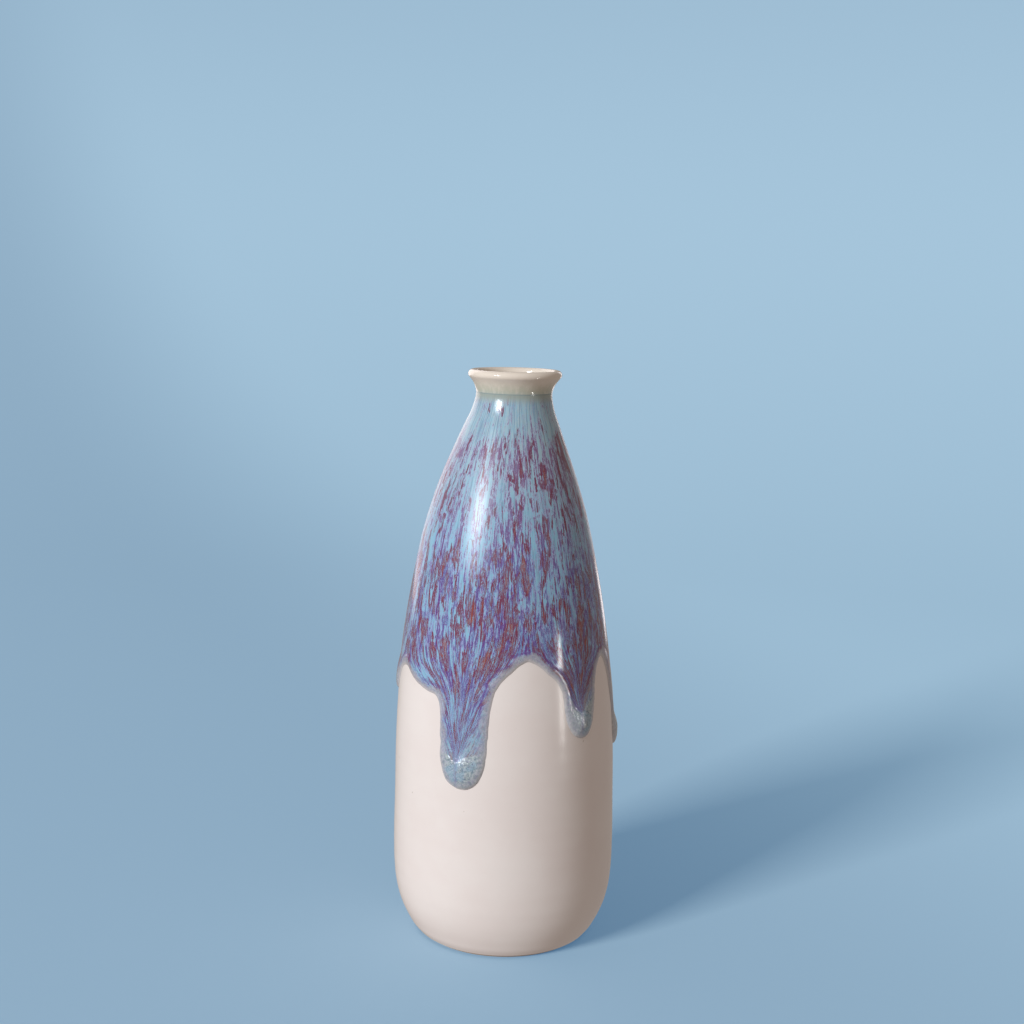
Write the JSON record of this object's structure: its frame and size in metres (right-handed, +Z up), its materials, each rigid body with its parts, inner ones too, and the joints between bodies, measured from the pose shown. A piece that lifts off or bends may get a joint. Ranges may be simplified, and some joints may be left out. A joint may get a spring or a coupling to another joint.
{
  "type": "bud vase",
  "caption": "Glazed stoneware bud vase: rounded belly, tapering shoulder, narrow neck with a rolled lip, and a drip glaze with runs.",
  "frame": {"origin": "centre of the foot, on the surface that the vase stands on", "axes": "+Z up along the vase's axis, -Y towards the front, +X to the right seen from the front"},
  "size_m": [0.0718, 0.0711, 0.18],
  "materials": {
    "clay": "unglazed, matt, fine sandy tooth",
    "liner_glaze": "glossy beige glaze, grey-green where it is thick",
    "cream_glaze": "satin cream glaze with fine specks and pinholes",
    "drip_glaze": "glossy reactive glaze, sky blue streaked with violet, maroon and rust red"
  },
  "bodies": {
    "root": {"clay_body": "clay", "liner_glaze": "liner_glaze", "cream_glaze": "cream_glaze", "drip_glaze": "drip_glaze"}
  },
  "joints": []
}
